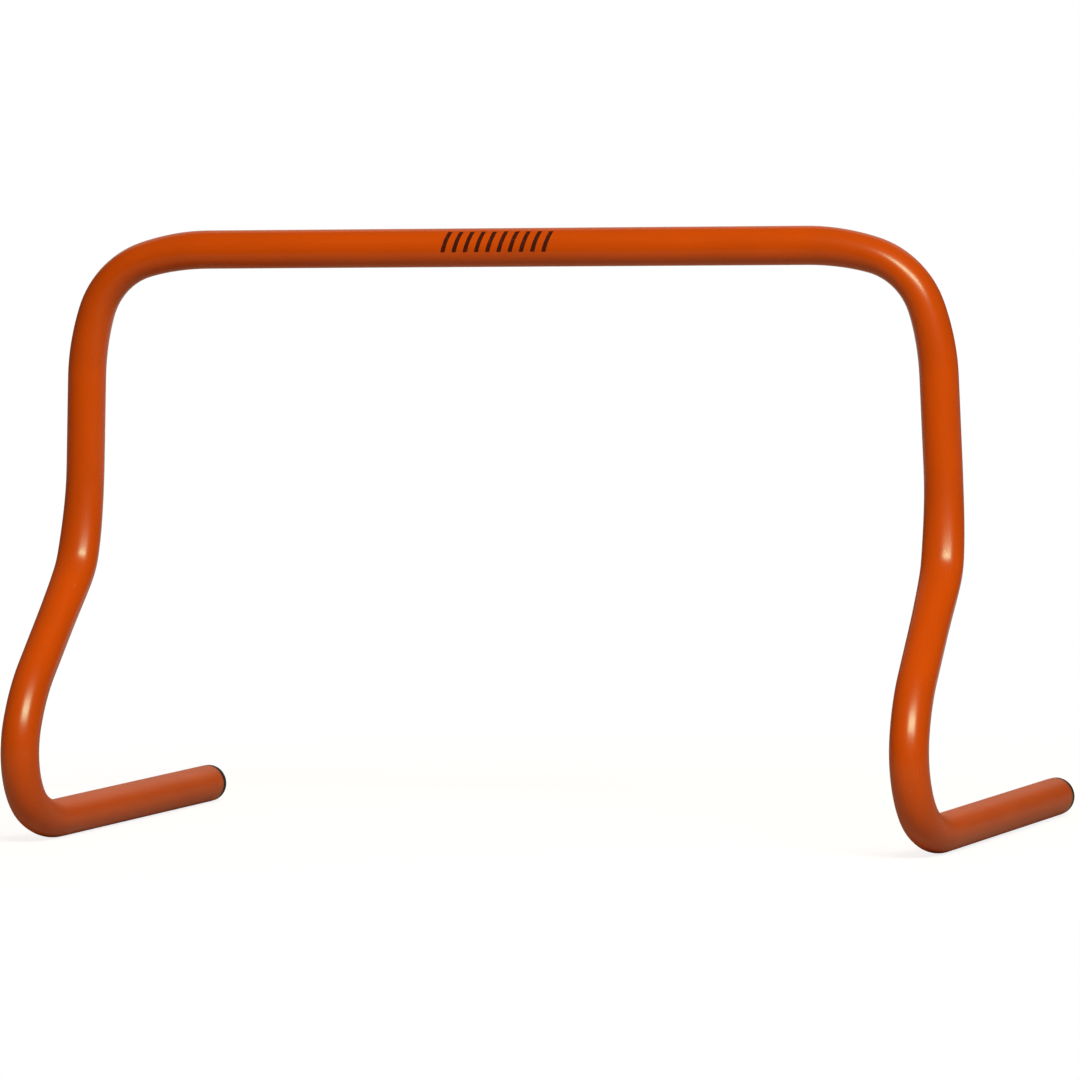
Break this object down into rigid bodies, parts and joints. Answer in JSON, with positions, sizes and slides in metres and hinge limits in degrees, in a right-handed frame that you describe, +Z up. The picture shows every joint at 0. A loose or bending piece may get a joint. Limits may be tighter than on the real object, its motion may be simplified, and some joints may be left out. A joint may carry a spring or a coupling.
{
  "type": "speed hurdle",
  "caption": "Low training hurdle of bent plastic tube: straight crossbar, round corners, legs that lean forward from the knee, and feet that run back along the floor, with plugged ends.",
  "frame": {"origin": "on the floor under the middle of the hurdle's bounding box", "axes": "+X along the crossbar, +Y back along the feet to their plugged ends, +Z up"},
  "size_m": [0.4756, 0.2698, 0.3],
  "materials": {
    "orange_tube": "satin",
    "black_plug": "matte"
  },
  "bodies": {
    "root": {"hurdle_tube": "orange_tube", "left_end_plug": "black_plug", "right_end_plug": "black_plug"}
  },
  "joints": []
}
